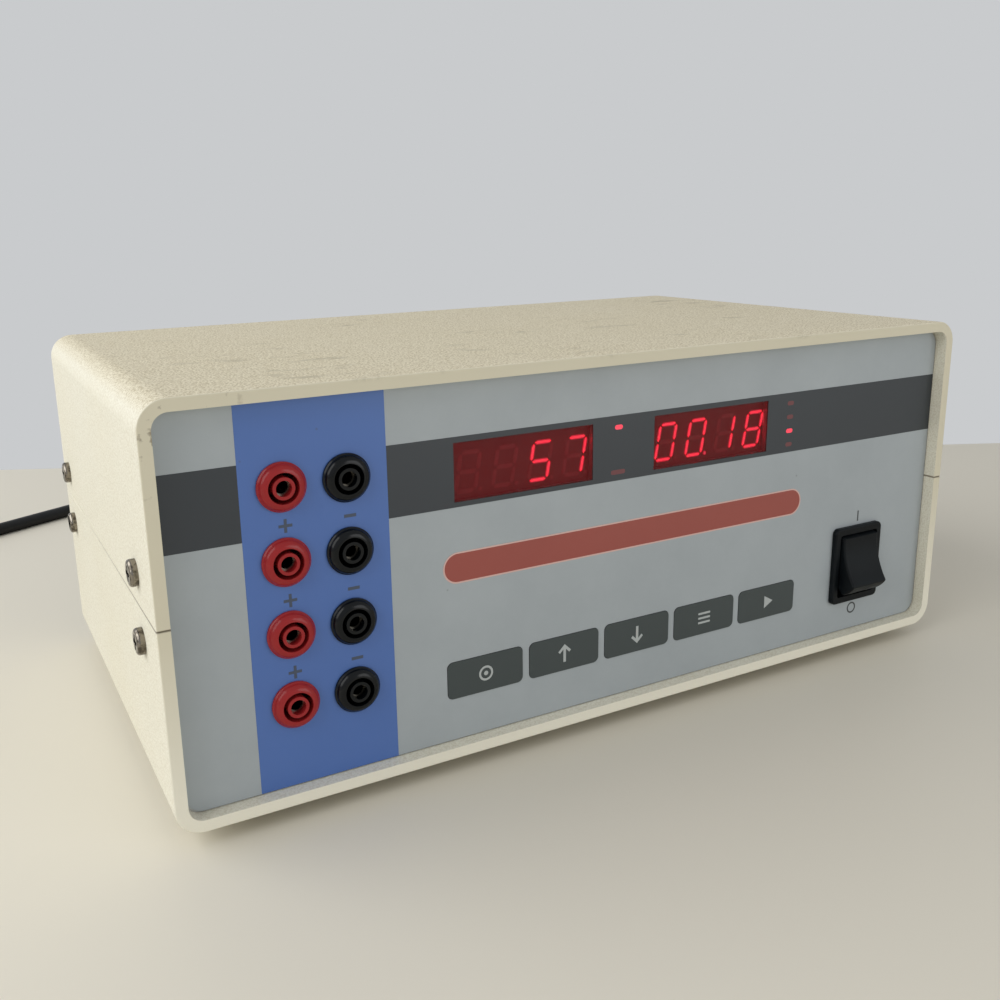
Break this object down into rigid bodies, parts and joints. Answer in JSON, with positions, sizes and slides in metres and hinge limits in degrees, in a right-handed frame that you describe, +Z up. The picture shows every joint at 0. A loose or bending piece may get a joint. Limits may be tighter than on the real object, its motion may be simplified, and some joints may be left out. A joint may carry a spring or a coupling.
{
  "type": "electrophoresis power supply",
  "caption": "Bench power supply for gel tanks: two-part moulded case with a recessed panel of shrouded sockets, lit displays, flat keys and a rocker switch, and its mains cord.",
  "frame": {"origin": "on the bench under the middle of the case's own extents, the paddle's nose and side screws included, the cord left out", "axes": "+X to the right as seen from the front, +Y from the panel to the rear, +Z up"},
  "size_m": [0.4763, 0.4173, 0.126],
  "materials": {
    "shell": "fine pebble grain",
    "panel": "satin",
    "overlay": "printed, satin",
    "keys": "satin",
    "socket_red": "glossy",
    "socket_black": "glossy",
    "contact": "nickel plated",
    "steel": "zinc plated",
    "filter": "clear dark red",
    "module": "matt",
    "circuit_board": "satin",
    "rubber": "matt",
    "rocker": "satin",
    "inlet": "satin",
    "cord": "satin",
    "core": "varnished",
    "winding": "tape",
    "sink": "anodised",
    "fuse": "clear"
  },
  "bodies": {
    "case": {"board_studs": "steel", "contact_black_1": "contact", "contact_black_2": "contact", "contact_black_3": "contact", "contact_black_4": "contact", "contact_red_1": "contact", "contact_red_2": "contact", "contact_red_3": "contact", "contact_red_4": "contact", "cord_coil": "cord", "cord_lead": "cord", "cord_tail": "cord", "cord_tie": "rubber", "display_board": "circuit_board", "display_filter_left": "filter", "display_filter_right": "filter", "display_module_left": "module", "display_module_right": "module", "foot_front_left": "rubber", "foot_front_right": "rubber", "foot_rear_left": "rubber", "foot_rear_right": "rubber", "foot_screws": "steel", "front_panel": "panel", "heat_sink": "sink", "inlet_pins": "contact", "key_switches": "module", "lower_shell": "shell", "main_board": "circuit_board", "mains_connector": "cord", "mains_inlet": "inlet", "mains_plug": "cord", "panel_overlay": "overlay", "rear_panel": "panel", "rocker_housing": "rocker", "side_screws_left": "steel", "side_screws_right": "steel", "socket_black_1": "socket_black", "socket_black_2": "socket_black", "socket_black_3": "socket_black", "socket_black_4": "socket_black", "socket_nuts_black": "steel", "socket_nuts_red": "steel", "socket_red_1": "socket_red", "socket_red_2": "socket_red", "socket_red_3": "socket_red", "socket_red_4": "socket_red", "tie_plates_left": "steel", "tie_plates_right": "steel", "transformer_core": "core", "transformer_winding": "winding", "upper_shell": "shell"},
    "key_1": {"key_1": "keys"},
    "key_2": {"key_2": "keys"},
    "key_3": {"key_3": "keys"},
    "key_4": {"key_4": "keys"},
    "key_5": {"key_5": "keys"},
    "rocker": {"rocker_paddle": "rocker"},
    "drawer": {"fuse_drawer": "inlet", "fuse": "fuse"}
  },
  "joints": [
    {"name": "key_1_press", "type": "slide", "parent": "case", "child": "key_1", "axis": [0, 1, 0], "range_m": [0, 0.0004], "stiffness_N_per_m": 2500},
    {"name": "key_2_press", "type": "slide", "parent": "case", "child": "key_2", "axis": [0, 1, 0], "range_m": [0, 0.0004], "stiffness_N_per_m": 2500},
    {"name": "key_3_press", "type": "slide", "parent": "case", "child": "key_3", "axis": [0, 1, 0], "range_m": [0, 0.0004], "stiffness_N_per_m": 2500},
    {"name": "key_4_press", "type": "slide", "parent": "case", "child": "key_4", "axis": [0, 1, 0], "range_m": [0, 0.0004], "stiffness_N_per_m": 2500},
    {"name": "key_5_press", "type": "slide", "parent": "case", "child": "key_5", "axis": [0, 1, 0], "range_m": [0, 0.0004], "stiffness_N_per_m": 2500},
    {"name": "rocker_rock", "type": "hinge", "parent": "case", "child": "rocker", "pos_m": [0.1099, -0.0768, 0.0361], "axis": [1, 0, 0], "range_deg": [0, 37]},
    {"name": "drawer_slide", "type": "slide", "parent": "case", "child": "drawer", "axis": [0, 1, 0], "range_m": [0, 0.014]}
  ]
}
